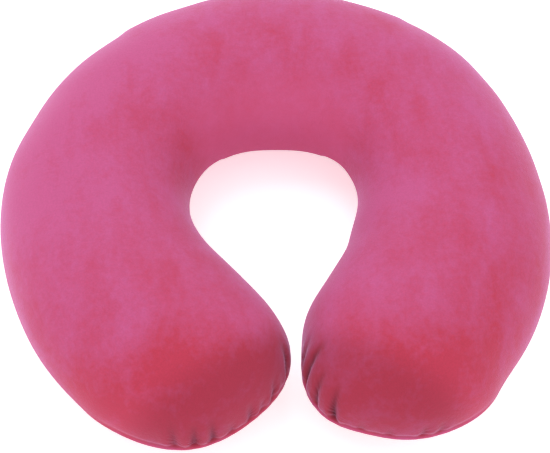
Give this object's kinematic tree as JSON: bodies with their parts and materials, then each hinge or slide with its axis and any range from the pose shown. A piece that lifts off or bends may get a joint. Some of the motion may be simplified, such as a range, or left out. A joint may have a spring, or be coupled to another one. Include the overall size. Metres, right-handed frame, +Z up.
{
  "type": "neck pillow",
  "caption": "U-shaped stuffed travel pillow with rounded arm ends, a velour cover closed by a zip round the back, and a neck opening.",
  "frame": {"origin": "centre of the bounding box's bottom face, on the surface the pillow lies on", "axes": "+X from the left arm to the right arm, -Y towards the open side where the arm ends meet, +Z up"},
  "size_m": [0.3306, 0.312, 0.0843],
  "materials": {
    "velour_top": "short-pile velour, hot pink",
    "velour_bottom": "short-pile velour, hot pink",
    "zip_tape": "woven tape",
    "zip_coil": "nylon coil",
    "zip_metal": "nickel-plated",
    "label_satin": "blank satin",
    "case_cloth": "plain woven",
    "fibre": "loose polyester fibre"
  },
  "bodies": {
    "pillow": {"cover_top_panel": "velour_top", "cover_bottom_panel": "velour_bottom", "inner_case_top": "case_cloth", "inner_case_bottom": "case_cloth", "fibre_fill": "fibre", "zip_tape_upper": "zip_tape", "zip_tape_lower": "zip_tape", "zip_coil_upper": "zip_coil", "zip_coil_lower": "zip_coil", "zip_top_stop_upper": "zip_metal", "zip_top_stop_lower": "zip_metal", "zip_bottom_stop": "zip_metal", "care_label": "label_satin"},
    "slider": {"zip_slider": "zip_metal"},
    "pull": {"zip_pull": "zip_metal"}
  },
  "joints": [
    {"name": "zip_travel", "type": "hinge", "parent": "pillow", "child": "slider", "pos_m": [0, -0.0081, 0.0349], "axis": [0, 0, 1], "range_deg": [0, 59.6]},
    {"name": "pull_swing", "type": "hinge", "parent": "slider", "child": "pull", "pos_m": [0.08225, 0.13551, 0.0349], "axis": [0, 0, -1], "range_deg": [0, 170]}
  ]
}
